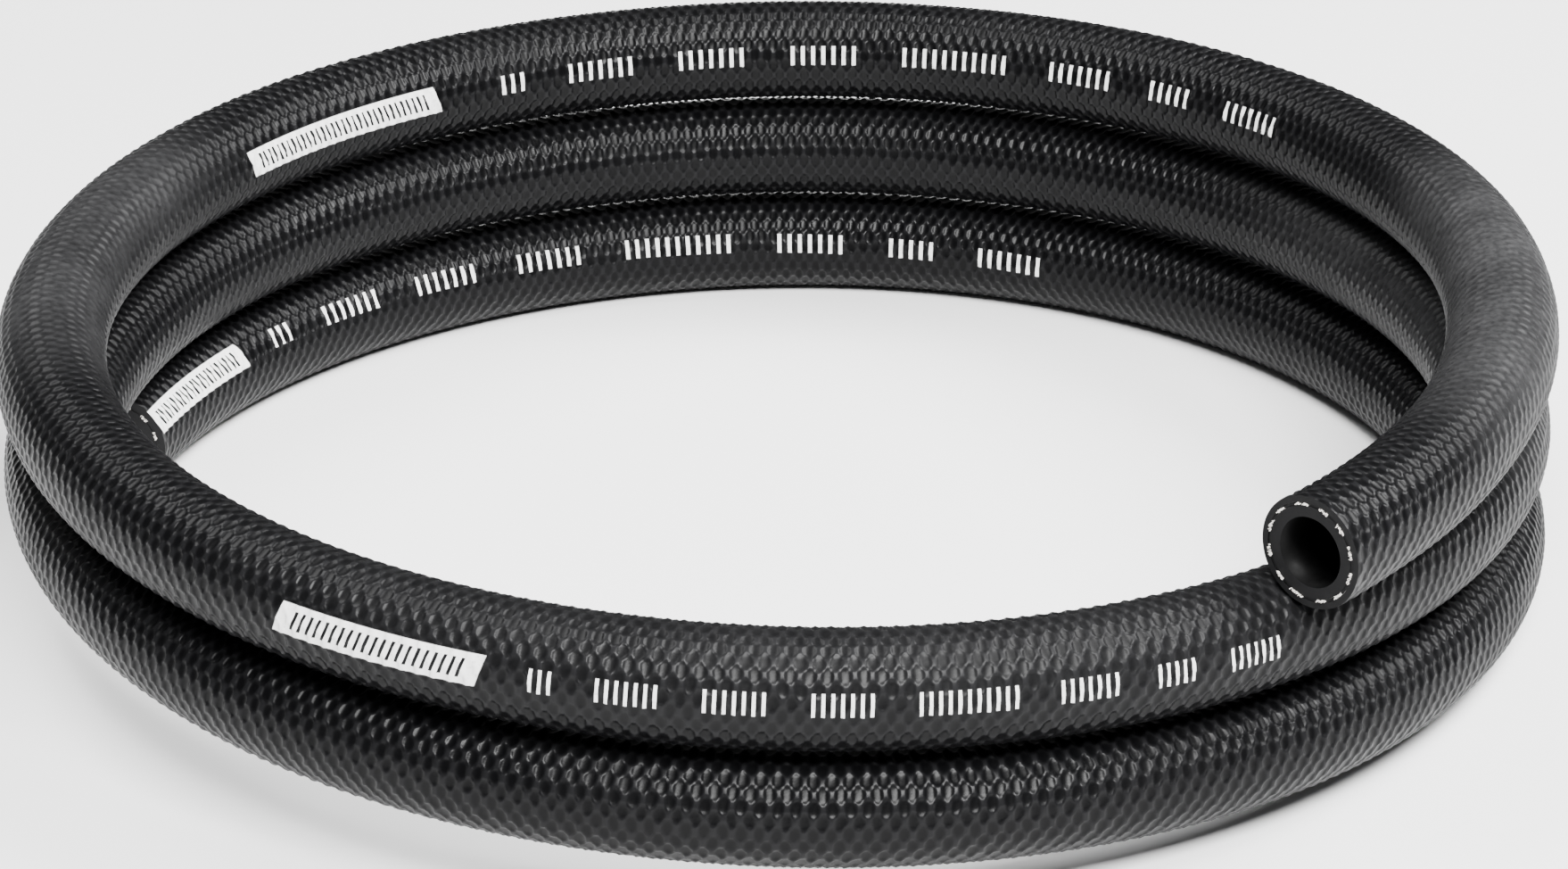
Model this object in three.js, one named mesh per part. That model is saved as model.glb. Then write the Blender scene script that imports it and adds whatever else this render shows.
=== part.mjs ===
// Fuel hose: a loose coil of braided rubber hose, cut square at both ends.
// Millimetres, +Z up. The coil lies on the plane Z = 0, with the centre of its box over the origin.
import * as THREE from "three";

// Hose section, from the bore outwards
const boreDiameter = 12.7;
const tubeWall = 2.05;
const braidThickness = 0.45;
const coverWall = 1.05;
// Clearance between two bonded layers
const bondGap = 0.05;

// Coil, measured at the hose's centreline
const coilRadius = 136;
// Air between a turn and the turn under it
const turnGap = 1.95;
// Angles run along the hose in degrees, from the free end on top to the end on the floor
const coilAngle = 938;
const firstDropAngle = 185;
const dropSpan = 240;
const fullTurn = 360;
// The free end springs out of the coil over this angle and by this much
const splaySpan = 56;
const splayOut = 10.5;

// Facets of the round surfaces
const coverSides = 20;
const layerSides = 12;
const chordAngle = 10;

const rubber = { color: 0x232427, roughness: 0.55, metalness: 0 };
const tubeRubber = { color: 0x17181a, roughness: 0.7, metalness: 0 };
const yarn = { color: 0xe6e2d8, roughness: 0.9, metalness: 0 };

const tubeDiameter = boreDiameter + 2 * tubeWall;
const braidInside = tubeDiameter + 2 * bondGap;
const braidDiameter = braidInside + 2 * braidThickness;
const coverInside = braidDiameter + 2 * bondGap;
const coverDiameter = coverInside + 2 * coverWall;
const turnPitch = coverDiameter + turnGap;

// Corner radius of a regular polygon that has the area of a circle of this diameter.
function cornerRadius(diameter, sides) {
  const corner = (2 * Math.PI) / sides;
  return (diameter / 2) * Math.sqrt(corner / Math.sin(corner));
}

// Distance from such a polygon's centre to its flat sides.
function flatRadius(diameter, sides) {
  return cornerRadius(diameter, sides) * Math.cos(Math.PI / sides);
}

// The polygon's corners, turned so that a flat side faces down once the section stands on the path.
function roundOutline(diameter, sides) {
  const radius = cornerRadius(diameter, sides);
  return Array.from({ length: sides }, (_, i) => {
    const angle = ((i + 0.5) * 2 * Math.PI) / sides;
    return new THREE.Vector2(radius * Math.cos(angle), radius * Math.sin(angle));
  });
}

// The centreline of the coil. It lies level on each turn and drops one turn's height in between.
class CoilLine extends THREE.Curve {
  arcLengthDivisions = 2000;

  radiusAt(angle) {
    const splay = Math.max(0, 1 - angle / splaySpan);
    return coilRadius + splayOut * splay ** 2;
  }

  // How many turn heights the hose has dropped by this angle.
  dropsAt(angle) {
    let drops = 0;
    for (let start = firstDropAngle; start + dropSpan <= coilAngle; start += fullTurn) {
      drops += THREE.MathUtils.smoothstep(angle, start, start + dropSpan);
    }
    return drops;
  }

  // The azimuth of the free end that makes its mouth look straight along -Y.
  freeEndAzimuth() {
    const splaySlope = THREE.MathUtils.radToDeg((2 * splayOut) / splaySpan);
    return -Math.atan2(splaySlope, this.radiusAt(0));
  }

  // The curve runs from the end on the floor, at share 0, to the free end, at share 1.
  getPoint(share, target = new THREE.Vector3()) {
    const angle = coilAngle * (1 - share);
    const azimuth = this.freeEndAzimuth() + THREE.MathUtils.degToRad(angle);
    const radius = this.radiusAt(angle);
    const lift = turnPitch * (this.dropsAt(coilAngle) - this.dropsAt(angle));
    const height = flatRadius(coverDiameter, coverSides) + lift;
    return target.set(radius * Math.cos(azimuth), radius * Math.sin(azimuth), height);
  }
}

const coilLine = new CoilLine();

// One layer of the hose: a tube along the whole centreline, open at both ends.
function layer(name, inside, outside, innerSides, outerSides, look) {
  const section = new THREE.Shape(roundOutline(outside, outerSides));
  section.holes.push(new THREE.Path(roundOutline(inside, innerSides)));
  const geometry = new THREE.ExtrudeGeometry(section, {
    steps: Math.ceil(coilAngle / chordAngle),
    extrudePath: coilLine,
  });
  const mesh = new THREE.Mesh(geometry, new THREE.MeshStandardMaterial(look));
  mesh.name = name;
  return mesh;
}

// Smooth rubber tube that carries the fuel
const innerTube = layer("inner_tube", boreDiameter, tubeDiameter, layerSides, layerSides, tubeRubber);

// Textile reinforcement between the two rubbers
const yarnBraid = layer("yarn_braid", braidInside, braidDiameter, layerSides, layerSides, yarn);

// Outer rubber, whose underside carries the coil on the floor
const outerCover = layer("outer_cover", coverInside, coverDiameter, layerSides, coverSides, rubber);

const hose = new THREE.Group();
hose.add(innerTube, yarnBraid, outerCover);

// Centre the coil's box over the origin.
const middle = new THREE.Box3().setFromObject(hose).getCenter(new THREE.Vector3());
hose.position.set(-middle.x, -middle.y, 0);

export default hose;
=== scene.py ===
# %% [markdown]
# # A coil of fuel hose
# This lesson dresses a loose coil of black rubber fuel hose. The real hose is made straight: a rubber
# tube, a braid of white yarn over it, and a rubber cover that keeps the print of the cloth it was
# cured in. Only then is it coiled, so the script works in the same order. Each layer is drawn as a
# flat sheet, marked there, then rolled up and laid along the coil by Geometry Nodes.

# %% Load the frame
import math

import bpy
import numpy as np
from mathutils import Matrix, Vector


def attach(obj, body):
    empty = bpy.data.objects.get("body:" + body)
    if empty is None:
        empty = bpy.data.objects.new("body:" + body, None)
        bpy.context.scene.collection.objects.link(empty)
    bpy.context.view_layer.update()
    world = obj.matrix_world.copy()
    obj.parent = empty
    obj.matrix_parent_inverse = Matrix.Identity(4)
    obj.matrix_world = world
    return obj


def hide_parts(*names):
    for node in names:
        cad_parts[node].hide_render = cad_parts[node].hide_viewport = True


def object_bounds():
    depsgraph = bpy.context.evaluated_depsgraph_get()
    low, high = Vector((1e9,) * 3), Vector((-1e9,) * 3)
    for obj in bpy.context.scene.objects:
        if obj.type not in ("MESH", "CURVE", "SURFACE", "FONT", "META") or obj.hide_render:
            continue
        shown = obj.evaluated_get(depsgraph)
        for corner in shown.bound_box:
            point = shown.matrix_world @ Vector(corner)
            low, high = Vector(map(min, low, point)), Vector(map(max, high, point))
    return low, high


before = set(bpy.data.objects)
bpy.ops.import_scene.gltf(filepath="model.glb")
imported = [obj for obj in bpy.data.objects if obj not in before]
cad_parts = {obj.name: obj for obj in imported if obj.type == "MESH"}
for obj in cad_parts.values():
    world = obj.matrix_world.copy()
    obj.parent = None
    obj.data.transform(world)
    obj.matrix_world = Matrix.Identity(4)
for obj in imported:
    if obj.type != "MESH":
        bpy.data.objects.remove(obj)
cad_low, cad_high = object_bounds()
print("CAD box", [round(x, 4) for x in cad_high - cad_low])

# %% [markdown]
# ## Sizes
# The hose is a half inch fuel hose, so its section is known. The coil was measured on its centreline.
# Everything below follows from these values, in metres and degrees.

# %% The hose and its coil
MM = 0.001
BORE = 12.7 * MM
TUBE_WALL = 2.05 * MM
BRAID_THICKNESS = 0.45 * MM
COVER_WALL = 1.05 * MM
BOND_GAP = 0.05 * MM
TUBE_RADIUS = BORE / 2 + TUBE_WALL
BRAID_INSIDE = TUBE_RADIUS + BOND_GAP
BRAID_RADIUS = BRAID_INSIDE + BRAID_THICKNESS
COVER_INSIDE = BRAID_RADIUS + BOND_GAP
HOSE_RADIUS = COVER_INSIDE + COVER_WALL

COIL_RADIUS = 136 * MM
TURN_PITCH = 2 * HOSE_RADIUS + 1.95 * MM
COIL_ANGLE = 938
FIRST_DROP = 185
DROP_SPAN = 240
SPLAY_SPAN = 56
SPLAY_OUT = 10.5 * MM
COVER_SIDES = 20
print("hose diameter %.1f mm" % (2 * HOSE_RADIUS / MM))

# %% [markdown]
# ## The coil's centreline
# The coil is a formula and not a list of points: a circle whose radius grows a little at the free end,
# and whose height drops by one turn in a smooth step on each round. The solid version of this part is
# a polygon of 20 sides, so its corner and flat distances say where its box puts the coil's axis.


# %% Centreline formula
def smooth_step(value, low, high):
    """0 below low, 1 above high, and a smooth rise in between."""
    share = min(max((value - low) / (high - low), 0), 1)
    return share * share * (3 - 2 * share)


def drops_at(angle):
    """How many turn heights the hose has dropped by this angle."""
    starts = range(FIRST_DROP, COIL_ANGLE - DROP_SPAN + 1, 360)
    return sum(smooth_step(angle, start, start + DROP_SPAN) for start in starts)


corner = 2 * math.pi / COVER_SIDES
corner_radius = HOSE_RADIUS * math.sqrt(corner / math.sin(corner))
floor_height = corner_radius * math.cos(corner / 2)
coil_axis = Vector((cad_low.x + COIL_RADIUS + corner_radius, (cad_low.y + cad_high.y) / 2, 0))
free_end_azimuth = -math.atan2(math.degrees(2 * SPLAY_OUT / SPLAY_SPAN), COIL_RADIUS + SPLAY_OUT)


def hose_point(angle):
    """The hose's centre at this angle, counted along the hose from its free end on top."""
    azimuth = free_end_azimuth + math.radians(angle)
    radius = COIL_RADIUS + SPLAY_OUT * max(0, 1 - angle / SPLAY_SPAN) ** 2
    height = floor_height + TURN_PITCH * (drops_at(COIL_ANGLE) - drops_at(angle))
    return coil_axis + Vector((radius * math.cos(azimuth), radius * math.sin(azimuth), height))


angles = np.linspace(0, COIL_ANGLE, 2 * COIL_ANGLE + 1)
line = np.array([hose_point(angle) for angle in angles])
along_line = np.concatenate([[0], np.cumsum(np.linalg.norm(np.diff(line, axis=0), axis=1))])
HOSE_LENGTH = float(along_line[-1])


def length_at(angle):
    """How far along the hose, in metres, this angle lies."""
    return float(np.interp(angle, angles, along_line))


print("hose length %.1f mm, floor end at %s" % (HOSE_LENGTH / MM, [round(x / MM, 1) for x in line[-1]]))

# %% [markdown]
# ## Camera
# The camera stands where the photographer's did: 24 degrees above the coil, with a long lens. Its
# place is worked out from the coil's axis at the height of the middle turn.

# %% Camera at the photograph's angle
IMAGE_WIDTH = 1758
FOCAL_PIXELS = 5420
VIEW_AZIMUTH = math.radians(-45.67)
VIEW_ELEVATION = math.radians(23.99)
VIEW_DISTANCE = 0.9238
VIEW_ROLL = math.radians(-1.15)
VIEW_SHIFT = (0.0053, -0.0221)

camera_data = bpy.data.cameras.new("camera")
camera_data.sensor_width = 36
camera_data.lens = FOCAL_PIXELS * camera_data.sensor_width / IMAGE_WIDTH
camera_data.shift_x, camera_data.shift_y = VIEW_SHIFT
camera_data.clip_start = 0.05
camera_data.clip_end = 50
camera = bpy.data.objects.new("camera", camera_data)
bpy.context.scene.collection.objects.link(camera)
toward_camera = Vector(
    (
        math.cos(VIEW_ELEVATION) * math.cos(VIEW_AZIMUTH),
        math.cos(VIEW_ELEVATION) * math.sin(VIEW_AZIMUTH),
        math.sin(VIEW_ELEVATION),
    )
)
camera.location = coil_axis + Vector((0, 0, floor_height + TURN_PITCH)) + VIEW_DISTANCE * toward_camera
turn = Matrix.Rotation(VIEW_AZIMUTH + math.pi / 2, 3, "Z")
tilt = Matrix.Rotation(math.pi / 2 - VIEW_ELEVATION, 3, "X")
camera.rotation_euler = (turn @ tilt @ Matrix.Rotation(VIEW_ROLL, 3, "Z")).to_euler()
bpy.context.scene.camera = camera
print("lens %.0f mm" % camera_data.lens)

# %% [markdown]
# ## A short hand for node trees
# Both the shapes and the finishes are node trees. This small class adds nodes, feeds their sockets
# with links or plain values, and writes a formula as nested calls.


# %% Node tree helper
class Graph:
    def __init__(self, tree):
        self.tree = tree

    def node(self, kind, inputs=None, **settings):
        made = self.tree.nodes.new(kind)
        for name, value in settings.items():
            setattr(made, name, value)
        for key, value in (inputs or {}).items():
            self.feed(made.inputs[key], value)
        return made

    def feed(self, socket, value):
        if isinstance(value, bpy.types.NodeSocket):
            self.tree.links.new(value, socket)
        else:
            socket.default_value = value

    def math(self, operation, *values):
        made = self.tree.nodes.new("ShaderNodeMath")
        made.operation = operation
        for socket, value in zip(made.inputs, values):
            self.feed(socket, value)
        return made.outputs[0]

    def vector_math(self, operation, *values):
        made = self.tree.nodes.new("ShaderNodeVectorMath")
        made.operation = operation
        for socket, value in zip(made.inputs, values):
            self.feed(socket, value)
        return made.outputs[0]

    def vector(self, x, y, z):
        return self.node("ShaderNodeCombineXYZ", {"X": x, "Y": y, "Z": z}).outputs[0]

    def parts(self, vector):
        return self.node("ShaderNodeSeparateXYZ", {"Vector": vector}).outputs

    def noise(self, vector, scale, detail=2.0):
        made = self.node("ShaderNodeTexNoise", {"Vector": vector, "Scale": scale, "Detail": detail})
        return made.outputs[0]

    def fade(self, value, low, high, at_low=0.0, at_high=1.0):
        """A smooth step from at_low to at_high as the value goes from low to high."""
        inputs = {"Value": value, "From Min": low, "From Max": high, "To Min": at_low, "To Max": at_high}
        return self.node("ShaderNodeMapRange", inputs, interpolation_type="SMOOTHSTEP").outputs[0]


def new_tree(name, sockets):
    """A geometry tree with these named inputs, and its two ends."""
    tree = bpy.data.node_groups.new(name, "GeometryNodeTree")
    tree.interface.new_socket("Geometry", in_out="INPUT", socket_type="NodeSocketGeometry")
    for label, kind in sockets.items():
        tree.interface.new_socket(label, in_out="INPUT", socket_type="NodeSocket" + kind)
    tree.interface.new_socket("Geometry", in_out="OUTPUT", socket_type="NodeSocketGeometry")
    graph = Graph(tree)
    return graph, graph.node("NodeGroupInput").outputs, graph.node("NodeGroupOutput").inputs


def use_tree(piece, graph, **values):
    """Puts the tree on the piece. Inputs are set by identifier, found by their name in lower case."""
    modifier = piece.modifiers.new(graph.tree.name, "NODES")
    modifier.node_group = graph.tree
    for item in graph.tree.interface.items_tree:
        key = item.name.lower().replace(" ", "_")
        if item.item_type == "SOCKET" and item.in_out == "INPUT" and key in values:
            modifier[item.identifier] = values[key]


# %% [markdown]
# ## The print of the cloth
# The cover is cured under a woven wrap, which presses rows of small oval pits into it. The rows run
# along the hose, 2.8 mm from pit to pit, and every second row is half a step on, so narrow wavy ridges
# are left between them. Two grids of ovals, one shifted against the other, give that pattern. The same
# formula shapes the mesh and, more finely, the bump in the material, so the two always agree.

# %% Pits
PIT_PITCH = 2.8 * MM
PIT_ROWS = 28
PIT_DEPTH = 0.36 * MM
RIDGE_RISE = 0.38 * MM
# Half sizes of a pit, in steps along the hose and in rows round it
PIT_HALF_LENGTH = 0.46
PIT_HALF_WIDTH = 0.84
# How far the pits stray from their grid, in steps along and in rows round
STRAY_ALONG = 0.30
STRAY_ROUND = 0.50


def pits(graph, along, turns, place):
    """1 in the middle of a pit, 0 on the ridges. turns counts once round the hose."""
    wander = graph.parts(
        graph.node("ShaderNodeTexNoise", {"Vector": place, "Scale": 260.0, "Detail": 1.0}).outputs[1]
    )
    column = graph.math("DIVIDE", along, PIT_PITCH)
    stray = graph.math("MULTIPLY_ADD", wander[0], STRAY_ALONG, -STRAY_ALONG / 2)
    column = graph.math("ADD", column, stray)
    row = graph.math("MULTIPLY", turns, float(PIT_ROWS))
    stray = graph.math("MULTIPLY_ADD", wander[1], STRAY_ROUND, -STRAY_ROUND / 2)
    row = graph.math("ADD", row, stray)
    found = []
    for column_shift, row_shift in ((0.0, 0.0), (0.5, 1.0)):
        x = graph.math("ADD", column, column_shift)
        x = graph.math("SUBTRACT", x, graph.math("ROUND", x))
        y = graph.math("MULTIPLY", graph.math("ADD", row, row_shift), 0.5)
        y = graph.math("SUBTRACT", y, graph.math("ROUND", y))
        x = graph.math("DIVIDE", x, PIT_HALF_LENGTH)
        y = graph.math("DIVIDE", y, PIT_HALF_WIDTH / 2)
        reach = graph.math("ADD", graph.math("MULTIPLY", x, x), graph.math("MULTIPLY", y, y))
        found.append(graph.fade(reach, 0.0, 1.0, 1.0, 0.0))
    return graph.fade(graph.math("ADD", *found), 0.0, 1.1)


# %% [markdown]
# ## Rubbed places and painted sheen
# Where the hose was handled, on top of both bends, the pits are rubbed nearly flat and the rubber is
# lighter grey, partly from wear and partly as a painted sheen on the tops. The patch is a smooth window
# along the hose and round it, broken up by noise. It is kept on the mesh as an attribute, so that the
# material greys the same places that the shape flattens.

# %% Rub marks and painted sheen
# Middle and half span in degrees along the hose, and how strongly it is rubbed and painted lighter there
RUB_AND_SHEEN_SPANS = ((44, 32, 0.65), (226, 30, 0.4), (330, 60, 0.1), (420, 40, 0.35))


def rub_and_sheen(graph, along, up, place):
    """How rubbed the skin is here, and how much painted sheen it gets on top. up goes from -1 under the hose
    to 1 on top of it.
    """
    total = 0.0
    for middle, half_span, weight in RUB_AND_SHEEN_SPANS:
        low = length_at(middle - half_span)
        high = length_at(middle + half_span)
        far = graph.math("ABSOLUTE", graph.math("SUBTRACT", along, (low + high) / 2))
        window = graph.fade(far, (high - low) * 0.2, (high - low) * 0.5, weight, 0.0)
        total = graph.math("ADD", total, window)
    top = graph.fade(up, -0.4, 0.6)
    cloud = graph.math("MULTIPLY_ADD", graph.fade(graph.noise(place, 70.0, 3.0), 0.3, 0.7), 0.35, 0.65)
    return graph.math("MULTIPLY", graph.math("MULTIPLY", total, top), cloud)


# %% [markdown]
# ## Where two turns touch
# The free end leans on the turn under it. There both covers are pressed a quarter of a millimetre
# thinner, so that their ridges meet and don't pass into each other. It fades out along the hose.

# %% Pressed places
PRESSED_ANGLES = (14, 374)
PRESSED_SHARE = 0.72
PRESSED_REACH = 60 * MM


def not_pressed(graph, along):
    """The share of their rise that the ridges keep here."""
    total = 1.0
    for angle in PRESSED_ANGLES:
        far = graph.math("ABSOLUTE", graph.math("SUBTRACT", along, length_at(angle)))
        pressed = graph.fade(far, 0.3 * PRESSED_REACH, PRESSED_REACH, PRESSED_SHARE, 0.0)
        total = graph.math("SUBTRACT", total, pressed)
    return total


# %% [markdown]
# ## Rolling up and coiling
# A real hose is bent into its coil when it is made already, so one tree bends everything here. It takes
# a flat sheet, where X is the way along the hose, Y the way round it and Z the height over its skin. Y
# becomes an angle, Z a radius less the pits, and X a place on the centreline. A hose wall and a tuft of
# yarn go through the same tree, so both stay where they were drawn.

# %% The wire that the hose follows
# The wire goes on past both ends of the hose, so that yarn ends standing out still find a place on it
LEAD = 5 * MM
lead_in = line[0] + (line[0] - line[1]) / np.linalg.norm(line[0] - line[1]) * LEAD
lead_out = line[-1] + (line[-1] - line[-2]) / np.linalg.norm(line[-1] - line[-2]) * LEAD
wire_points = np.vstack([lead_in, line, lead_out])
wire_mesh = bpy.data.meshes.new("centreline")
wire_mesh.from_pydata(wire_points, [(i, i + 1) for i in range(len(wire_points) - 1)], [])
wire = bpy.data.objects.new("centreline", wire_mesh)
bpy.context.scene.collection.objects.link(wire)
print("wire of %d points" % len(wire_points))

# %% The coiling tree, from a flat place to a radius
END_FADE = 2.5 * MM
RUBBED_FLAT = 0.4
coiling, given, made = new_tree(
    "Roll up and coil", {"Centreline": "Object", "Radius": "Float", "Depth": "Float", "Rise": "Float"}
)
along, across, height = coiling.parts(coiling.node("GeometryNodeInputPosition").outputs[0])
roll_angle = coiling.math("DIVIDE", across, given["Radius"])
cosine = coiling.math("COSINE", roll_angle)
sine = coiling.math("SINE", roll_angle)
skin_place = coiling.vector(
    along,
    coiling.math("MULTIPLY", cosine, given["Radius"]),
    coiling.math("MULTIPLY", sine, given["Radius"]),
)
turns = coiling.math("DIVIDE", roll_angle, 2 * math.pi)
pit = pits(coiling, along, turns, skin_place)
rubbed = rub_and_sheen(coiling, along, sine, skin_place)
on_skin = coiling.math("GREATER_THAN", height, -COVER_WALL / 2)
to_end = coiling.math("MINIMUM", along, coiling.math("SUBTRACT", HOSE_LENGTH, along))
kept = coiling.math("MULTIPLY_ADD", rubbed, -RUBBED_FLAT, 1.0)
kept = coiling.math("MULTIPLY", kept, coiling.fade(to_end, 0.0, END_FADE))
sink = coiling.math("MULTIPLY", coiling.math("MULTIPLY", pit, kept), given["Depth"])
rise = coiling.math("MULTIPLY", given["Rise"], not_pressed(coiling, along))
sink = coiling.math("SUBTRACT", sink, rise)
radius = coiling.math("ADD", given["Radius"], height)
radius = coiling.math("SUBTRACT", radius, coiling.math("MULTIPLY", sink, on_skin))

# %% [markdown]
# The wire becomes a curve whose normals stay level, so that the hose doesn't twist as it goes round.
# At each length along it, its point, its outward normal and the cross product of normal and tangent
# are the three things needed to put a rolled up point in its place.

# %% The coiling tree, from a radius to a place on the coil
info = coiling.node("GeometryNodeObjectInfo", {"Object": given["Centreline"]})
curve = coiling.node("GeometryNodeMeshToCurve", {"Mesh": info.outputs["Geometry"]})
curve = coiling.node("GeometryNodeSetCurveNormal", {"Curve": curve.outputs[0]}, mode="Z_UP")
sample = coiling.node(
    "GeometryNodeSampleCurve",
    {"Curves": curve.outputs[0], "Length": coiling.math("ADD", along, LEAD)},
    mode="LENGTH",
)
up = coiling.vector_math("CROSS_PRODUCT", sample.outputs["Normal"], sample.outputs["Tangent"])
out_part = coiling.node(
    "ShaderNodeVectorMath",
    {0: sample.outputs["Normal"], "Scale": coiling.math("MULTIPLY", radius, cosine)},
    operation="SCALE",
)
up_part = coiling.node(
    "ShaderNodeVectorMath", {0: up, "Scale": coiling.math("MULTIPLY", radius, sine)}, operation="SCALE"
)
place = coiling.vector_math(
    "ADD", sample.outputs["Position"], coiling.vector_math("ADD", out_part.outputs[0], up_part.outputs[0])
)

# %% [markdown]
# Before the points move, the straight hose's coordinates and the rubbing, which also places the painted
# sheen, are stored on them, for the materials. Points that come together where the sheet closes on
# itself are merged into one.

# %% The coiling tree, its result
result = given["Geometry"]
for label, value, kind in (("straight", skin_place, "FLOAT_VECTOR"), ("rubbed", rubbed, "FLOAT")):
    stored = coiling.node(
        "GeometryNodeStoreNamedAttribute",
        {"Geometry": result, "Name": label, "Value": value},
        data_type=kind,
        domain="POINT",
    )
    result = stored.outputs[0]
result = coiling.node("GeometryNodeSetPosition", {"Geometry": result, "Position": place}).outputs[0]
merged = coiling.node("GeometryNodeMergeByDistance", {"Geometry": result, "Distance": 0.001 * MM})
realized = coiling.node("GeometryNodeRealizeInstances", {0: merged.outputs[0]})
coiling.feed(made["Geometry"], realized.outputs[0])
print("coiling tree has %d nodes" % len(coiling.tree.nodes))

# %% [markdown]
# ## One wall as one folded sheet
# A hose layer is a closed wall: its outside, its inside and the two cut rings. It can be drawn as one
# grid, folded once: the first columns run along the outside, the rest come back along the inside. The
# first and last columns and the first and last rows meet, and are merged when the sheet is rolled up.

# %% The wall tree
wall, given, made = new_tree(
    "Folded wall",
    {
        "Start": "Float",
        "End": "Float",
        "Radius": "Float",
        "Wall": "Float",
        "Start Edge": "Float",
        "End Edge": "Float",
        "Columns": "Int",
        "Inner Columns": "Int",
        "Sides": "Int",
        "Skin": "Material",
        "Cut Face": "Material",
    },
)
print("wall inputs:", [item.name for item in wall.tree.interface.items_tree if item.in_out == "INPUT"])

# %% The wall tree, which column and side a point is on
last = wall.math("ADD", given["Columns"], given["Inner Columns"])
grid = wall.node(
    "GeometryNodeMeshGrid",
    {"Vertices X": wall.math("ADD", last, 2.0), "Vertices Y": wall.math("ADD", given["Sides"], 1.0)},
)
index = wall.node("GeometryNodeInputIndex").outputs[0]
rows = wall.math("ADD", given["Sides"], 1.0)
column = wall.math("FLOOR", wall.math("DIVIDE", wall.math("ADD", index, 0.5), rows))
side = wall.math("SUBTRACT", index, wall.math("MULTIPLY", column, rows))
outer_share = wall.math("DIVIDE", column, wall.math("SUBTRACT", given["Columns"], 1.0))
back = wall.math("DIVIDE", wall.math("SUBTRACT", column, given["Columns"]), given["Inner Columns"])
inside = wall.math("GREATER_THAN", column, wall.math("SUBTRACT", given["Columns"], 0.5))
closing = wall.math("GREATER_THAN", column, wall.math("ADD", last, 0.5))
share = wall.math(
    "ADD",
    wall.math("MULTIPLY", outer_share, wall.math("SUBTRACT", 1.0, inside)),
    wall.math("MULTIPLY", wall.math("SUBTRACT", 1.0, back), inside),
)
share = wall.math("MULTIPLY", share, wall.math("SUBTRACT", 1.0, closing))

# %% [markdown]
# From its column and side, each point gets its flat place: X along the hose, Y round it, and Z the depth
# under the skin. A cut edge may lie a little deeper, because a knife rounds it off.

# %% The wall tree, its flat places
span = wall.math("SUBTRACT", given["End"], given["Start"])
x = wall.math("MULTIPLY_ADD", share, span, given["Start"])
girth = wall.math("MULTIPLY", given["Radius"], 2 * math.pi)
y = wall.math("MULTIPLY", wall.math("DIVIDE", side, given["Sides"]), girth)
depth = wall.math("MULTIPLY", wall.math("SUBTRACT", inside, closing), given["Wall"])
at_start = wall.math("ADD", wall.math("LESS_THAN", column, 0.5), closing)
at_end = wall.math("COMPARE", column, wall.math("SUBTRACT", given["Columns"], 1.0), 0.5)
edge = wall.math(
    "ADD",
    wall.math("MULTIPLY", at_start, given["Start Edge"]),
    wall.math("MULTIPLY", at_end, given["End Edge"]),
)
flat = wall.node(
    "GeometryNodeSetPosition",
    {
        "Geometry": grid.outputs["Mesh"],
        "Position": wall.vector(x, y, wall.math("MULTIPLY", wall.math("ADD", depth, edge), -1.0)),
    },
)

# %% [markdown]
# The faces that join the outside to the inside are the cut rings. They are found by their mean depth, get
# the cut face's material and stay flat, while the skin is shaded smooth. A field is worked out where it
# is asked for, so values that belong to points are tied to points first.


# %% The wall tree, its cut rings
def on_points(value):
    """The value at the sheet's points, also where faces or their corners ask for it."""
    return wall.node("GeometryNodeFieldOnDomain", {"Value": value}, domain="POINT").outputs[0]


def on_faces(value):
    """The mean of the value over each face."""
    return wall.node("GeometryNodeFieldOnDomain", {"Value": on_points(value)}, domain="FACE").outputs[0]


low_part = on_faces(depth)
ring = wall.math(
    "MULTIPLY",
    wall.math("GREATER_THAN", low_part, wall.math("MULTIPLY", given["Wall"], 0.1)),
    wall.math("LESS_THAN", low_part, wall.math("MULTIPLY", given["Wall"], 0.9)),
)
skin = wall.node("GeometryNodeSetMaterial", {"Geometry": flat.outputs[0], "Material": given["Skin"]})
cut = wall.node(
    "GeometryNodeSetMaterial",
    {"Geometry": skin.outputs[0], "Selection": ring, "Material": given["Cut Face"]},
)
smooth = wall.node(
    "GeometryNodeSetShadeSmooth",
    {"Geometry": cut.outputs[0], "Shade Smooth": wall.math("SUBTRACT", 1.0, ring)},
    domain="FACE",
)

# %% [markdown]
# The same tree also lays out the flat map on which the finished colours can be painted. The outside is
# cut into three strips, one over another, so that the long thin sheet fills the map. The inside and the
# two cut rings get narrow bands under the strips.

# %% The flat map
STRIPS = 3
face_share = on_faces(share)
face_inside = on_faces(inside)
strip = wall.math("FLOOR", wall.math("MULTIPLY", face_share, float(STRIPS)))
strip = wall.math("MINIMUM", strip, STRIPS - 1.0)
around = on_points(wall.math("DIVIDE", side, given["Sides"]))
depth_share = on_points(wall.math("DIVIDE", depth, given["Wall"]))
share = on_points(share)
is_inner = wall.math("GREATER_THAN", face_inside, 0.75)


def chosen(test, value, other):
    """value where the test is 1, other where it is 0."""
    return wall.node("ShaderNodeMix", {"Factor": test, 2: other, 3: value}, data_type="FLOAT").outputs[0]


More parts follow.
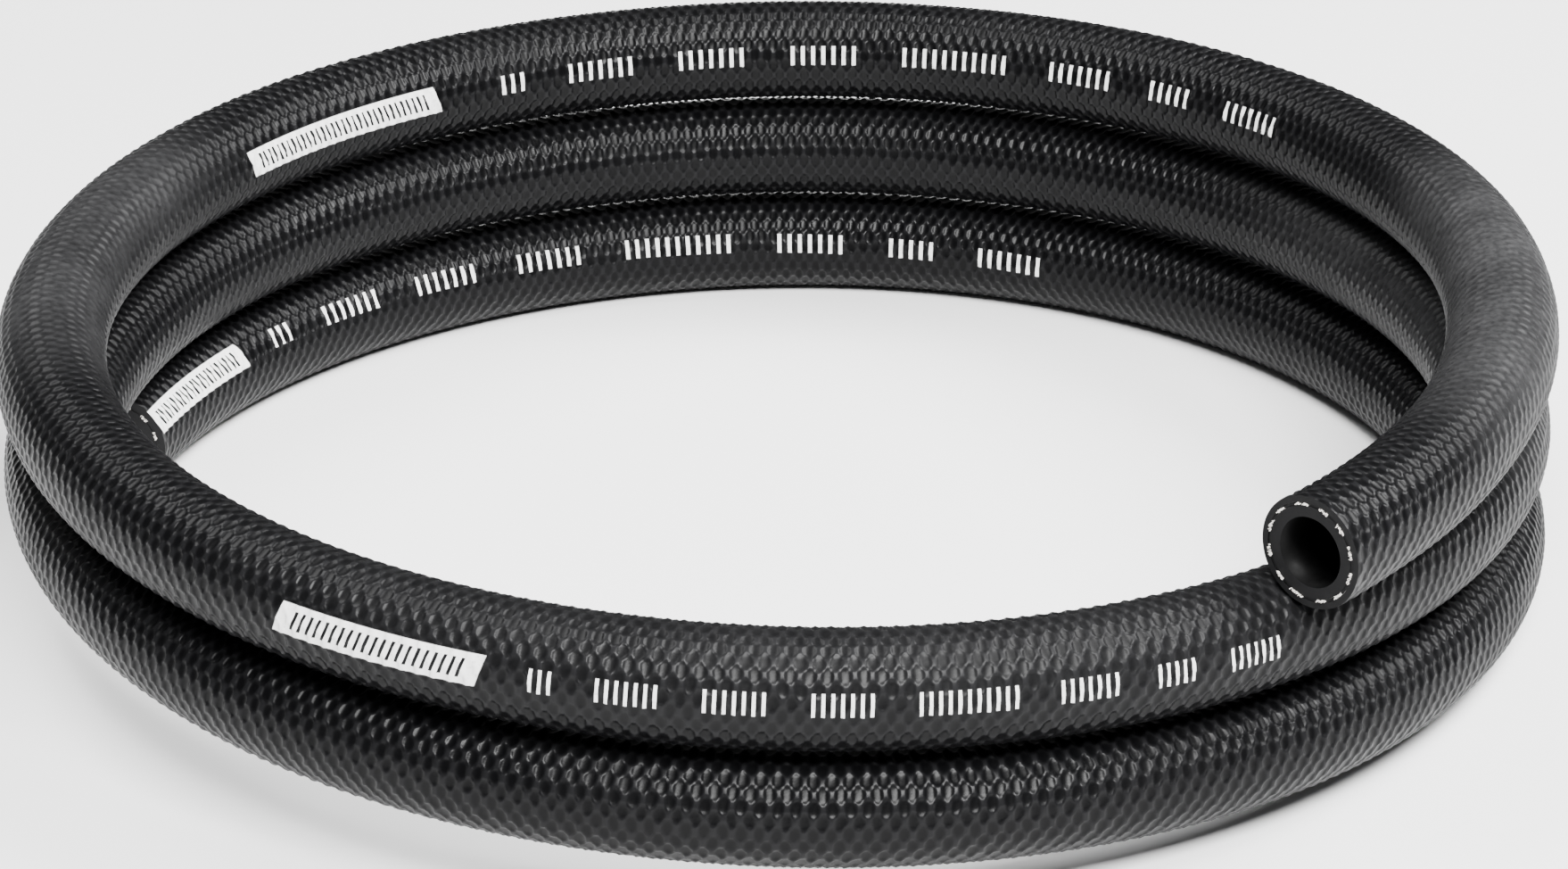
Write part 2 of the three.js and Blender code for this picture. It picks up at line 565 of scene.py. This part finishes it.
strip_u = wall.math("SUBTRACT", wall.math("MULTIPLY", share, float(STRIPS)), strip)
map_u = chosen(ring, around, chosen(is_inner, share, strip_u))
inner_v = wall.math("MULTIPLY_ADD", around, 0.03, 0.005)
ring_v = wall.math("MULTIPLY_ADD", depth_share, 0.02, wall.math("MULTIPLY_ADD", face_share, 0.03, 0.045))
outer_v = wall.math("MULTIPLY_ADD", around, 0.285, wall.math("MULTIPLY_ADD", strip, 0.3, 0.102))
map_v = chosen(ring, ring_v, chosen(is_inner, inner_v, outer_v))
flat_map = wall.node(
    "GeometryNodeStoreNamedAttribute",
    {
        "Geometry": smooth.outputs[0],
        "Name": "OFBake",
        "Value": wall.vector(wall.math("MULTIPLY_ADD", map_u, 0.98, 0.01), map_v, 0.0),
    },
    data_type="FLOAT2",
    domain="CORNER",
)
wall.feed(made["Geometry"], flat_map.outputs[0])
print("wall tree has %d nodes" % len(wall.tree.nodes))

# %% [markdown]
# ## Finishes
# Every finish is a Principled shader whose colour, roughness and bump come from nodes. Three helpers do
# what all of them need: start a material, mix two colours, and turn a height in metres into a bump.


# %% Material helper
def new_material(name, colour, roughness):
    """A node material with one Principled shader, and its graph."""
    material = bpy.data.materials.new(name)
    material.use_nodes = True
    material.diffuse_color = (*colour, 1)
    graph = Graph(material.node_tree)
    shader = material.node_tree.nodes["Principled BSDF"]
    shader.inputs["Base Color"].default_value = (*colour, 1)
    shader.inputs["Roughness"].default_value = roughness
    return material, graph, shader


def mixed(graph, share, first, second):
    """A colour between two others."""
    made = graph.node("ShaderNodeMix", {"Factor": share}, data_type="RGBA")
    for key, value in ((6, first), (7, second)):
        graph.feed(made.inputs[key], value if isinstance(value, bpy.types.NodeSocket) else (*value, 1))
    return made.outputs[2]


def bumped(graph, shader, height):
    """Feeds the shader a bump whose height is in metres."""
    made = graph.node("ShaderNodeBump", {"Height": height, "Strength": 1.0, "Distance": 1.0})
    graph.feed(shader.inputs["Normal"], made.outputs[0])


# %% [markdown]
# ## Print marks
# White ink marks run along the hose in three places. Each run starts with a solid block with slanted
# ends, and goes on as groups of plain upright ticks, like a scale. Flat shapes laid over the cover would
# cut through its ridges, so the ink is part of the material: a row of on and off steps along the hose,
# times a band round it. It lies in the pits as real ink does.

# %% Print sizes
MARK_HEIGHT = 4.0 * MM
BLOCK_HEIGHT = 5.6 * MM
BLOCK_TICK = 1.5 * MM
SLOT_HEIGHT = 3.4 * MM
SLOT_MARGIN = 2.5 * MM
TICK_BLUR = 0.08 * MM
BLOCK_BLUR = 0.1 * MM
SLANT = 0.3
# A tick's width and its soft edge, as shares of the way to the next tick
TICK_WIDTH = 0.38
TICK_EDGE = 0.03
TICK_GROUPS = (3, 7, 7, 7, 11, 7, 5, 7)
GROUP_GAP = 4
# Block ends and tick ends in degrees along the hose, and the degrees round it at both ends
RUNS = (
    ((199.0, 176.0), (170.0, 88.0), (172.0, 162.0)),
    ((938.0, 921.5), (918.0, 835.0), (149.0, 171.0)),
    ((287.4, 302.8), (305.6, 358.3), (12.0, 9.5)),
)
# Each tick has a whole number, and a group ends half way to the empty places beside it
TICK_PLACES = sum(TICK_GROUPS) + GROUP_GAP * (len(TICK_GROUPS) - 1)
group_edges = []
for size in TICK_GROUPS:
    first = group_edges[-1] + GROUP_GAP if group_edges else 0.5
    group_edges += [first, first + size]
group_edges = [edge / (TICK_PLACES + 1) for edge in group_edges]
print("%d ticks in a run" % sum(TICK_GROUPS))


# %% Bands, steps and ticks
def band(graph, value, middle, half, soft):
    """1 where the value is within half of the middle, with a soft edge."""
    far = graph.math("ABSOLUTE", graph.math("SUBTRACT", value, middle))
    return graph.fade(far, half - soft, half + soft, 1.0, 0.0)


def steps(graph, share, edges):
    """On and off in turn at each edge, from a ramp of constant steps."""
    made = graph.node("ShaderNodeValToRGB", {"Fac": share})
    ramp = made.color_ramp
    ramp.interpolation = "CONSTANT"
    for k, edge in enumerate(edges):
        point = ramp.elements[1] if k == 0 else ramp.elements.new(edge)
        point.position = edge
        point.color = (1, 1, 1, 1) if k % 2 == 0 else (0, 0, 0, 1)
    ramp.elements[0].color = (0, 0, 0, 1)
    return made.outputs[0]


def ticked(graph, count):
    """1 close to each whole number."""
    far = graph.math("ABSOLUTE", graph.math("SUBTRACT", count, graph.math("ROUND", count)))
    return graph.fade(far, TICK_WIDTH / 2 - TICK_EDGE, TICK_WIDTH / 2 + TICK_EDGE, 1.0, 0.0)


# %% Print marks
def tick_groups(graph, share, rise):
    """The ticks of one run. share goes from 0 to 1 along it, rise is the height over its middle."""
    tick = ticked(graph, graph.math("MULTIPLY", share, TICK_PLACES + 1.0))
    marks = graph.math("MULTIPLY", tick, steps(graph, share, group_edges))
    return graph.math("MULTIPLY", marks, band(graph, rise, 0.0, MARK_HEIGHT / 2, TICK_BLUR))


def slotted_block(graph, slanted, rise, middle, half):
    """A solid block with slanted ends and a row of upright slots left bare in it."""
    solid = band(graph, slanted, middle, half, BLOCK_BLUR)
    solid = graph.math("MULTIPLY", solid, band(graph, rise, 0.0, BLOCK_HEIGHT / 2, BLOCK_BLUR))
    slots = math.floor((half - SLOT_MARGIN) / BLOCK_TICK) + 0.5
    bare = band(graph, slanted, middle, slots * BLOCK_TICK, BLOCK_BLUR)
    bare = graph.math("MULTIPLY", bare, band(graph, rise, 0.0, SLOT_HEIGHT / 2, TICK_BLUR))
    slot_place = graph.math("DIVIDE", graph.math("SUBTRACT", slanted, middle), BLOCK_TICK)
    bare = graph.math("MULTIPLY", bare, ticked(graph, slot_place))
    return graph.math("MULTIPLY", solid, graph.math("SUBTRACT", 1.0, bare))


def print_marks(graph, along, degrees):
    """1 on the white ink of all runs."""
    total = 0.0
    for block_angles, tick_angles, (first_round, last_round) in RUNS:
        block_start, block_end = [length_at(angle) for angle in block_angles]
        first_tick, last_tick = [length_at(angle) for angle in tick_angles]
        share = graph.node(
            "ShaderNodeMapRange", {"Value": along, "From Min": first_tick, "From Max": last_tick}, clamp=True
        ).outputs[0]
        middle = graph.math("MULTIPLY_ADD", share, last_round - first_round, first_round)
        rise = graph.math("SUBTRACT", degrees, middle)
        rise = graph.math("MULTIPLY", rise, math.radians(1) * HOSE_RADIUS)
        slanted = graph.math("MULTIPLY_ADD", rise, SLANT if first_tick > last_tick else -SLANT, along)
        middle_of_block = (block_start + block_end) / 2
        block = slotted_block(graph, slanted, rise, middle_of_block, abs(block_start - block_end) / 2)
        total = graph.math("ADD", total, graph.math("ADD", tick_groups(graph, share, rise), block))
    return graph.math("MINIMUM", total, 1.0)


# %% [markdown]
# ## Cover rubber
# The cover is satin black rubber: nearly black, with soft wide highlights and faintly grey where it is
# rubbed, a grey that also paints a sheen on top of the bends. The pits are painted darker, as shade. A
# painted picture would blur close up, so the material is worked out from the straight hose's own
# coordinates, which the mesh carries. Pits, grain and ink then follow the hose round the coil.

# %% Cover rubber, its colour
RIDGE_BLACK = (0.006, 0.006, 0.0065)
# The pits' colour is darker than the ridges': painted shade in the pits
PIT_PAINTED_SHADE = (0.0012, 0.0012, 0.0014)
# The rubbed grey is partly wear and partly a painted sheen on top of the bends
RUBBED_GREY_AND_SHEEN = (0.048, 0.048, 0.049)
INK_WHITE = (0.80, 0.80, 0.79)
# Noise scales, about as many features to the metre
GRAIN = 4200.0
INK_WEAR = 2300.0
MOTTLE = 800.0
CLOUD = 45.0

cover_rubber, graph, shader = new_material("cover_rubber", (0.012, 0.012, 0.013), 0.42)
shader.inputs["Specular IOR Level"].default_value = 0.09
straight = graph.node("ShaderNodeAttribute", attribute_name="straight").outputs["Vector"]
rubbed_and_sheen_here = graph.node("ShaderNodeAttribute", attribute_name="rubbed").outputs["Fac"]
along, out, up = graph.parts(straight)
roll = graph.math("ARCTAN2", up, out)
pit = pits(graph, along, graph.math("DIVIDE", roll, 2 * math.pi), straight)
degrees = graph.math("WRAP", graph.math("MULTIPLY", roll, 180 / math.pi), 270.0, -90.0)
worn = graph.fade(graph.noise(straight, INK_WEAR, 3.0), 0.30, 0.42)
strength = graph.math("MULTIPLY_ADD", worn, 0.25, 0.75)
ink = graph.math("MULTIPLY", print_marks(graph, along, degrees), strength)
mottled = graph.fade(graph.noise(straight, MOTTLE, 4.0), 0.3, 0.7)
# Grey where rubbed: partly wear, partly a painted sheen on the tops of the bends
grey_and_sheen = graph.math("MULTIPLY", rubbed_and_sheen_here, graph.math("MULTIPLY_ADD", mottled, 0.5, 0.5))
# Painted shade: the pits are coloured darker than the ridges
colour = mixed(graph, pit, RIDGE_BLACK, PIT_PAINTED_SHADE)
colour = mixed(graph, grey_and_sheen, colour, RUBBED_GREY_AND_SHEEN)
colour = mixed(graph, ink, colour, INK_WHITE)
graph.feed(shader.inputs["Base Color"], colour)

# %% [markdown]
# The gloss is broken up by fine grain and by wide, faint clouds, and the rubbed places are duller. The
# bump deepens the pits that the mesh already has and adds the grain, which is too fine for the mesh.

# %% Cover rubber, its gloss and bump
GRAIN_HEIGHT = 0.010 * MM
PIT_BUMP = 0.18 * MM
grain = graph.noise(straight, GRAIN, 3.0)
cloud = graph.fade(graph.noise(straight, CLOUD, 3.0), 0.35, 0.7)
rough = graph.math("MULTIPLY_ADD", grain, 0.10, 0.25)
rough = graph.math("MULTIPLY_ADD", cloud, 0.08, rough)
rough = graph.math("MULTIPLY_ADD", rubbed_and_sheen_here, 0.22, rough)
graph.feed(shader.inputs["Roughness"], rough)
kept = graph.math("MULTIPLY_ADD", rubbed_and_sheen_here, -0.8, 1.0)
pressed = graph.math("MULTIPLY", graph.math("MULTIPLY", pit, kept), -PIT_BUMP)
bumped(graph, shader, graph.math("ADD", graph.math("MULTIPLY", grain, GRAIN_HEIGHT), pressed))
print("cover rubber has %d nodes" % len(graph.tree.nodes))

# %% [markdown]
# ## Cut rubber and the tube
# The knife leaves the cut faces matt and slightly torn, while the bore of the tube is smooth, dull and in
# shade. Both are small, so noise on the object's own coordinates will do: fine speckle on the cut, and
# wider streaks inside.

# %% Cut rubber
SPECKLE = 2600.0
SPECKLE_HEIGHT = 0.03 * MM
cut_rubber, graph, shader = new_material("cut_rubber", (0.007, 0.007, 0.0075), 0.62)
shader.inputs["Specular IOR Level"].default_value = 0.12
speckle = graph.noise(graph.node("ShaderNodeTexCoord").outputs["Object"], SPECKLE, 3.0)
colour = mixed(graph, speckle, (0.005, 0.005, 0.0052), (0.010, 0.010, 0.0105))
graph.feed(shader.inputs["Base Color"], colour)
graph.feed(shader.inputs["Roughness"], graph.math("MULTIPLY_ADD", speckle, 0.2, 0.5))
bumped(graph, shader, graph.math("MULTIPLY", speckle, SPECKLE_HEIGHT))

# %% Tube rubber
STREAK = 700.0
# The tube's colour is near black, darker than its cut faces: partly its black rubber, partly painted shade
# in the bore
tube_rubber, graph, shader = new_material("tube_rubber", (0.002, 0.002, 0.002), 0.6)
shader.inputs["Specular IOR Level"].default_value = 0.06
streak = graph.noise(graph.node("ShaderNodeTexCoord").outputs["Object"], STREAK, 2.0)
colour = mixed(graph, streak, (0.001, 0.001, 0.001), (0.003, 0.003, 0.003))
graph.feed(shader.inputs["Base Color"], colour)
graph.feed(shader.inputs["Roughness"], graph.math("MULTIPLY_ADD", streak, 0.2, 0.4))

# %% [markdown]
# ## White yarn
# The yarn is off-white textile, seen only as short cut ends. Fine noise between two warm whites and a
# little sheen stand for the fuzz, which is too thin to be modelled hair by hair.

# %% White yarn
FUZZ = 5200.0
white_yarn, graph, shader = new_material("white_yarn", (0.78, 0.75, 0.70), 0.85)
shader.inputs["Sheen Weight"].default_value = 0.2
fibre = graph.noise(graph.node("ShaderNodeTexCoord").outputs["Object"], FUZZ, 2.0)
colour = mixed(graph, fibre, (0.60, 0.56, 0.51), (0.88, 0.86, 0.82))
graph.feed(shader.inputs["Base Color"], colour)
print("materials", sorted(material.name for material in bpy.data.materials))

# %% [markdown]
# ## Finishing a piece
# Each piece starts as an empty mesh with the trees on it. The result is turned into a plain mesh, its
# faces are turned outwards if the sheet was rolled the other way, and the modifiers are gone before
# the piece is handed to the frame.


# %% Reading a mesh
def read(items, attribute, width=3, kind=float):
    """One attribute of all points, corners or faces of a mesh, as an array."""
    values = np.empty(len(items) * width, dtype=kind)
    items.foreach_get(attribute, values)
    return values.reshape(-1, width) if width > 1 else values


def signed_volume(mesh):
    """The volume in the mesh, below zero where its faces point inwards."""
    mesh.calc_loop_triangles()
    corners = read(mesh.loop_triangles, "vertices", kind=np.int32)
    a, b, c = read(mesh.vertices, "co")[corners].transpose(1, 0, 2)
    return float((a * np.cross(b, c)).sum() / 6)


# %% Making pieces
def new_piece(name, mesh=None):
    """A new object in the scene, with an empty mesh if none is given."""
    piece = bpy.data.objects.new(name, mesh or bpy.data.meshes.new(name))
    bpy.context.scene.collection.objects.link(piece)
    return piece


def finished(piece):
    """Turns the modifiers' result into the piece's own mesh, with its faces outwards."""
    depsgraph = bpy.context.evaluated_depsgraph_get()
    mesh = bpy.data.meshes.new_from_object(piece.evaluated_get(depsgraph))
    piece.modifiers.clear()
    piece.data = mesh
    mesh.name = piece.name
    # The materials set by a tree come after an empty first slot
    if mesh.materials[0] is None:
        mesh.materials.pop(index=0)
    volume = signed_volume(mesh)
    if volume < 0:
        mesh.flip_normals()
    print("%s: %d triangles, %.1f ml" % (piece.name, len(mesh.loop_triangles), abs(volume) * 1e6))
    return piece


def wall_piece(name, start, end, radius, relief=(0, 0), **sheet):
    """One closed wall of the hose. relief is how deep its pits and how high its ridges are."""
    piece = new_piece(name)
    use_tree(piece, wall, start=start, end=end, radius=radius, **sheet)
    use_tree(piece, coiling, centreline=wire, radius=radius, depth=relief[0], rise=relief[1])
    return finished(piece)


# %% [markdown]
# ## The cover
# The cover is one extruded sleeve on the real hose. Its pits need a fine mesh, with four points from pit
# to pit along the hose and four to each row round it, which is about 750,000 triangles in all. So it is
# made in four lengths. They are cut at whole half steps of the pits, where both sides have the same points.

# %% Cover in four lengths
LENGTHS = 4
STEP = PIT_PITCH / 4
ROUND_POINTS = 4 * PIT_ROWS
# How much the knife rounds off the skin at the hose's two ends
EDGE = 0.10 * MM
half_pitches = HOSE_LENGTH / LENGTHS / (PIT_PITCH / 2)
cuts = [round(half_pitches * k) * PIT_PITCH / 2 for k in range(LENGTHS)] + [HOSE_LENGTH]
covers = []
for k in range(LENGTHS):
    start, end = cuts[k], cuts[k + 1]
    piece = wall_piece(
        "outer_cover_%d" % (k + 1), start, end, HOSE_RADIUS, relief=(PIT_DEPTH, RIDGE_RISE),
        wall=COVER_WALL, start_edge=EDGE if k == 0 else 0.0, end_edge=EDGE if k == LENGTHS - 1 else 0.0,
        columns=round((end - start) / STEP) + 1, inner_columns=40, sides=ROUND_POINTS,
        skin=cover_rubber, cut_face=cut_rubber,
    )
    covers.append(piece)

# %% [markdown]
# Where two lengths meet, each knows only its own side of the seam, and light would show the seam as a
# line. So the two lengths' normals are averaged there, point by point round the hose.


# %% The skin on both sides of a seam
def seam_corners(piece, cut):
    """The skin's face corners on this cut, their places round the hose, and the sum of normals there."""
    mesh = piece.data
    point = read(mesh.loops, "vertex_index", 1, np.int32)
    straight = read(mesh.attributes["straight"].data, "vector")[point]
    face_is_smooth = read(mesh.polygons, "use_smooth", 1, bool)
    is_smooth = np.repeat(face_is_smooth, read(mesh.polygons, "loop_total", 1, np.int32))
    found = np.flatnonzero(is_smooth & (abs(straight[:, 0] - cut) < 0.001 * MM))
    centre = np.array([np.interp(cut, along_line, line[:, axis]) for axis in range(3)])
    from_centre = np.linalg.norm(read(mesh.vertices, "co")[point[found]] - centre, axis=1)
    found = found[from_centre > HOSE_RADIUS - COVER_WALL / 2]
    turns = np.arctan2(straight[found, 2], straight[found, 1]) / (2 * math.pi)
    place = np.round(turns * ROUND_POINTS).astype(int) % ROUND_POINTS
    total = np.zeros((ROUND_POINTS, 3))
    np.add.at(total, place, read(mesh.corner_normals, "vector")[found])
    return found, place, total


# %% Level the seams
def set_normals(piece, parts):
    """Sets the normals of some corners and leaves the rest as they are."""
    custom = np.zeros((len(piece.data.loops), 3))
    for found, place, normals in parts:
        custom[found] = normals[place]
    piece.data.normals_split_custom_set(custom)


shared = [[] for k in range(LENGTHS)]
for k in range(1, LENGTHS):
    sides_of_seam = [(length, *seam_corners(covers[length], cuts[k])) for length in (k - 1, k)]
    normals = sum(total for length, found, place, total in sides_of_seam)
    normals /= np.linalg.norm(normals, axis=1, keepdims=True)
    for length, found, place, total in sides_of_seam:
        shared[length].append((found, place, normals))
        print("seam %d, length %d: %d corners" % (k, length + 1, len(found)))
for cover, parts in zip(covers, shared):
    set_normals(cover, parts)

# %% [markdown]
# ## Tube and braid
# The inner tube and the braid show only at the two cut ends, so their walls are plain and smooth. The
# knife drags the braid back a little, so it ends in a shallow groove between the two rubbers.

# %% Tube and braid
GROOVE = 0.15 * MM
tube = wall_piece(
    "fuel_tube", 0.0, HOSE_LENGTH, TUBE_RADIUS, wall=TUBE_WALL, columns=314, inner_columns=314,
    sides=48, skin=tube_rubber, cut_face=cut_rubber,
)
braid = wall_piece(
    "braid", GROOVE, HOSE_LENGTH - GROOVE, BRAID_RADIUS, wall=BRAID_THICKNESS, columns=314,
    inner_columns=314, sides=48, skin=white_yarn, cut_face=cut_rubber,
)

# %% [markdown]
# ## Cut yarns
# Twelve bundles of yarn were cut through with the hose, and their ends stand out of the groove as small
# white tufts. Each tuft is 26 short fibres, scattered over about 2 mm of the ring with a fixed seed. They
# are drawn flat as well, as instances on points, and rolled up by the same coiling tree.

# %% The yarn tree
yarns, given, made = new_tree(
    "Cut yarns",
    {"Face": "Float", "Way": "Float", "Tufts": "Int", "Fibres": "Int", "Seed": "Int", "Yarn": "Material"},
)
total = yarns.math("MULTIPLY", given["Tufts"], given["Fibres"])
dots = yarns.node("GeometryNodeMeshLine", {"Count": total})
index = yarns.node("GeometryNodeInputIndex").outputs[0]
tuft = yarns.math("FLOOR", yarns.math("DIVIDE", yarns.math("ADD", index, 0.5), given["Fibres"]))


# %% The yarn tree, where the fibres start
def random_value(low, high, kind, seed_step):
    """A random number between low and high for each kind, such as each fibre or each tuft."""
    seed = yarns.math("ADD", given["Seed"], float(seed_step))
    made = yarns.node("FunctionNodeRandomValue", {2: low, 3: high, "ID": kind, "Seed": seed})
    return made.outputs[1]


RING_RADIUS = BRAID_RADIUS - BRAID_THICKNESS / 2
TUFT_GIRTH = 2 * math.pi * RING_RADIUS
tuft_width = random_value(0.8 * MM, 1.4 * MM, tuft, 1)
tuft_shift = random_value(-0.35 * MM, 0.35 * MM, tuft, 2)
tuft_pitch = yarns.math("DIVIDE", TUFT_GIRTH, given["Tufts"])
tuft_place = yarns.math("MULTIPLY", yarns.math("ADD", tuft, 0.5), tuft_pitch)
spread = yarns.math("MULTIPLY", random_value(-1.0, 1.0, index, 3), tuft_width)
y = yarns.math("ADD", yarns.math("ADD", tuft_place, tuft_shift), spread)
z = random_value(-0.17 * MM, 0.17 * MM, index, 4)
x = yarns.math("MULTIPLY", random_value(-0.15 * MM, 0.10 * MM, index, 5), given["Way"])
spots = yarns.node(
    "GeometryNodeSetPosition",
    {"Geometry": dots.outputs[0], "Position": yarns.vector(yarns.math("ADD", given["Face"], x), y, z)},
)

# %% [markdown]
# A fibre is a six sided rod, laid along the hose and then leaned at random by up to half a radian. The
# rods are instances until the end, where they become real, because an exported file has no instances.

# %% The yarn tree, its fibres
FIBRE_RADIUS = 0.055 * MM
FIBRE_LENGTH = 0.7 * MM
LEAN = 0.5
fibre = yarns.node(
    "GeometryNodeMeshCylinder",
    {"Vertices": 6, "Side Segments": 2, "Radius": FIBRE_RADIUS, "Depth": FIBRE_LENGTH},
)
side_lean = random_value(-LEAN, LEAN, index, 6)
lean = yarns.vector(side_lean, random_value(math.pi / 2 - LEAN, math.pi / 2 + LEAN, index, 7), 0.0)
size = random_value(0.7, 1.3, index, 8)
fibres = yarns.node(
    "GeometryNodeInstanceOnPoints",
    {
        "Points": spots.outputs[0],
        "Instance": fibre.outputs[0],
        "Rotation": lean,
        "Scale": yarns.vector(size, size, size),
    },
)
solid = yarns.node("GeometryNodeRealizeInstances", {0: fibres.outputs[0]})
smooth = yarns.node("GeometryNodeSetShadeSmooth", {"Geometry": solid.outputs[0]})
dyed = yarns.node("GeometryNodeSetMaterial", {"Geometry": smooth.outputs[0], "Material": given["Yarn"]})
yarns.feed(made["Geometry"], dyed.outputs[0])

# %% [markdown]
# The same tree makes the ends at both cuts, each with its own seed and pointing out of the hose. The wire
# was only a guide, so it is removed once everything has been coiled along it.

# %% Yarn ends at both cuts
TUFTS = 12
FIBRES = 26
yarn_ends = []
for name, face, way, seed in (("yarn_ends_free", 0.0, -1.0, 5), ("yarn_ends_floor", HOSE_LENGTH, 1.0, 8)):
    piece = new_piece(name)
    use_tree(piece, yarns, face=face, way=way, tufts=TUFTS, fibres=FIBRES, seed=seed, yarn=white_yarn)
    use_tree(piece, coiling, centreline=wire, radius=RING_RADIUS, depth=0.0, rise=0.0)
    yarn_ends.append(finished(piece))
bpy.data.objects.remove(wire)

# %% [markdown]
# ## Handing over
# A coil that lies still has one body, so every piece rides on the root. The route and real length of each
# of the cover's four lengths are worked out along the hose. Each piece hides the solid that it dresses.

# %% Hand the pieces to the frame
for k, cover in enumerate(covers):
    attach(cover, "root")
    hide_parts("outer_cover")
    span = (along_line >= cuts[k] - 1e-9) & (along_line <= cuts[k + 1] + 1e-9)
    path = line[span]
    length = float(np.linalg.norm(np.diff(path, axis=0), axis=1).sum())
dressed = [(tube, "inner_tube", "tube_rubber")]
dressed += [(piece, "yarn_braid", "white_yarn") for piece in [braid] + yarn_ends]
for piece, node, slot in dressed:
    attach(piece, "root")
    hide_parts(node)

# %% [markdown]
# ## Floor and light
# The coil lies on a plain pale floor under large soft lamps, as in a studio. The floor is one large face,
# wide enough that its edge is never seen.

# %% Floor
REACH = 6
floor_corners = [(-REACH, -REACH, 0), (REACH, -REACH, 0), (REACH, REACH, 0), (-REACH, REACH, 0)]
floor_mesh = bpy.data.meshes.new("floor")
floor_mesh.from_pydata(floor_corners, [], [(0, 1, 2, 3)])
floor = new_piece("floor", floor_mesh)
pale, graph, shader = new_material("pale_floor", (0.84, 0.84, 0.84), 0.7)
floor_mesh.materials.append(pale)
print("floor", 2 * REACH, "m wide")

# %% [markdown]
# The top lamp stands over the camera's right shoulder and draws the long soft highlight on every turn.
# Two weaker lamps at the sides keep the bends from going black, and a dim white sky fills the shadows.


# %% Lamps
def lamp(name, azimuth, elevation, distance, size, power, height=None):
    """A square soft lamp that looks at the coil, placed by the direction it stands in."""
    data = bpy.data.lights.new(name, "AREA")
    data.shape = "RECTANGLE"
    data.size = size
    data.size_y = height or size
    data.energy = power
    made = bpy.data.objects.new(name, data)
    bpy.context.scene.collection.objects.link(made)
    a, e = math.radians(azimuth), math.radians(elevation)
    way = Vector((math.cos(e) * math.cos(a), math.cos(e) * math.sin(a), math.sin(e)))
    made.location = way * distance
    made.rotation_euler = way.to_track_quat("Z", "Y").to_euler()
    return made


camera_side = math.degrees(VIEW_AZIMUTH)
lamp("top_lamp", camera_side + 18, 52, 1.9, 1.1, 140, height=0.55)
lamp("left_lamp", camera_side - 125, 60, 1.8, 0.9, 30)
lamp("right_lamp", camera_side + 105, 50, 1.8, 0.9, 70)
world = bpy.data.worlds.new("studio")
world.use_nodes = True
world.node_tree.nodes["Background"].inputs["Color"].default_value = (1, 1, 1, 1)
world.node_tree.nodes["Background"].inputs["Strength"].default_value = 0.14
bpy.context.scene.world = world
